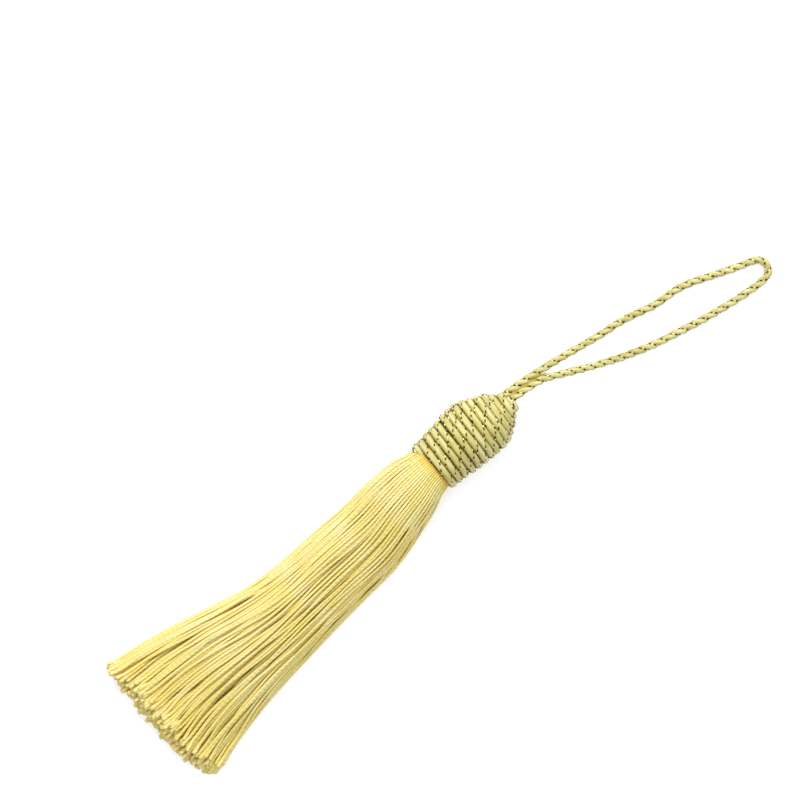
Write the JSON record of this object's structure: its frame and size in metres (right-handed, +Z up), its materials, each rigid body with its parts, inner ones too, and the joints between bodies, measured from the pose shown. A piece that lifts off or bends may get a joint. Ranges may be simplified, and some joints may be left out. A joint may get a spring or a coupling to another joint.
{
  "type": "silk tassel",
  "caption": "Silk tassel with a pear-shaped head of wound two-ply cord, a long skirt of straight yarn strands and a hanging loop of the same cord, lying flat.",
  "frame": {"origin": "on the table, under the middle of the head and skirt together, without the loop", "axes": "+X runs along the head's axis from the skirt towards the loop, +Y is across the skirt, +Z is up from the table"},
  "size_m": [0.1695, 0.0332, 0.0149],
  "materials": {
    "skirt_yarn": "glossy twisted floss",
    "head_cord": "satin two-ply cord with a fine dark metallic thread",
    "loop_cord": "satin two-ply cord with a fine dark metallic thread"
  },
  "bodies": {
    "root": {"tassel_skirt": "skirt_yarn", "head_winding": "head_cord", "hanging_loop": "loop_cord"}
  },
  "joints": []
}
